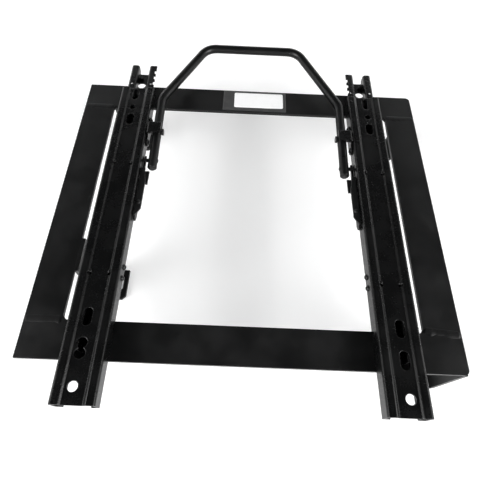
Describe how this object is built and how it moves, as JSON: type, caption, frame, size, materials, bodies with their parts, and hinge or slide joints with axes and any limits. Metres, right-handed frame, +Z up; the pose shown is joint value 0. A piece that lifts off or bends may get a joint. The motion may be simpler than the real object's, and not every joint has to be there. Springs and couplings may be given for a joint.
{
  "type": "seat base frame with slide rails",
  "caption": "Black painted steel seat base frame with slide rails, a towel-bar release handle and rocker latches that lock the sliding upper rails on a toothed rack.",
  "frame": {"origin": "on the floor under the middle of the whole outline", "axes": "+X to the right side of the frame seen from behind, +Y forward to the grip of the handle, +Z up"},
  "size_m": [0.5, 0.539, 0.1321],
  "materials": {
    "frame_paint": "satin black paint over flat steel bar",
    "rail_paint": "satin black paint over rolled sheet steel",
    "lever_paint": "thin black coat over pressed steel",
    "bar_paint": "satin black paint over round steel bar",
    "fastener_black": "blackened steel",
    "spring_wire": "oiled dark spring wire",
    "cage_steel": "bare sheet steel, greased",
    "ball_steel": "polished bearing steel"
  },
  "bodies": {
    "frame": {"front_cross_plate": "frame_paint", "rear_cross_plate": "frame_paint", "left_side_plate": "frame_paint", "right_side_plate": "frame_paint", "left_front_leg": "frame_paint", "left_rear_leg": "frame_paint", "right_front_leg": "frame_paint", "right_rear_leg": "frame_paint", "left_lower_rail": "rail_paint", "right_lower_rail": "rail_paint", "rail_bolts": "fastener_black", "rail_nuts": "fastener_black"},
    "left_carriage": {"left_upper_rail": "rail_paint", "left_saddle": "rail_paint", "left_saddle_rivets": "fastener_black", "left_pivot_pin": "fastener_black", "left_latch_pivot": "fastener_black", "left_spring_anchor": "rail_paint", "left_return_spring": "spring_wire"},
    "right_carriage": {"right_upper_rail": "rail_paint", "right_saddle": "rail_paint", "right_saddle_rivets": "fastener_black", "right_pivot_pin": "fastener_black", "right_latch_pivot": "fastener_black", "right_spring_anchor": "rail_paint", "right_return_spring": "spring_wire"},
    "left_bearing": {"left_ball_cages": "cage_steel", "left_balls": "ball_steel"},
    "right_bearing": {"right_ball_cages": "cage_steel", "right_balls": "ball_steel"},
    "handle": {"towel_bar": "bar_paint", "left_cross_pin": "fastener_black", "right_cross_pin": "fastener_black"},
    "left_latch": {"left_latch_lever": "lever_paint"},
    "right_latch": {"right_latch_lever": "lever_paint"}
  },
  "joints": [
    {"name": "left_slide", "type": "slide", "parent": "frame", "child": "left_carriage", "axis": [0, 1, 0], "range_m": [-0.048, 0.168]},
    {"name": "right_slide", "type": "slide", "parent": "frame", "child": "right_carriage", "axis": [0, 1, 0], "range_m": [-0.048, 0.168]},
    {"name": "left_bearing_slide", "type": "slide", "parent": "frame", "child": "left_bearing", "axis": [0, 1, 0], "range_m": [-0.024, 0.084]},
    {"name": "right_bearing_slide", "type": "slide", "parent": "frame", "child": "right_bearing", "axis": [0, 1, 0], "range_m": [-0.024, 0.084]},
    {"name": "handle_lift", "type": "hinge", "parent": "left_carriage", "child": "handle", "pos_m": [0, 0.09453, 0.1155], "axis": [1, 0, 0], "range_deg": [-6, 3.6]},
    {"name": "left_latch_turn", "type": "hinge", "parent": "left_carriage", "child": "left_latch", "pos_m": [-0.1427, -0.01647, 0.11], "axis": [1, 0, 0], "range_deg": [-2.7, 4.5], "deforming": ["left_return_spring"]},
    {"name": "right_latch_turn", "type": "hinge", "parent": "right_carriage", "child": "right_latch", "pos_m": [0.1427, -0.01647, 0.11], "axis": [1, 0, 0], "range_deg": [-2.7, 4.5], "deforming": ["right_return_spring"]}
  ],
  "couplings": [
    {"joint": "right_slide", "follows": "left_slide", "ratio": 1},
    {"joint": "left_bearing_slide", "follows": "left_slide", "ratio": 0.5},
    {"joint": "right_bearing_slide", "follows": "left_slide", "ratio": 0.5},
    {"joint": "left_latch_turn", "follows": "handle_lift", "ratio": -0.75},
    {"joint": "right_latch_turn", "follows": "handle_lift", "ratio": -0.75}
  ]
}
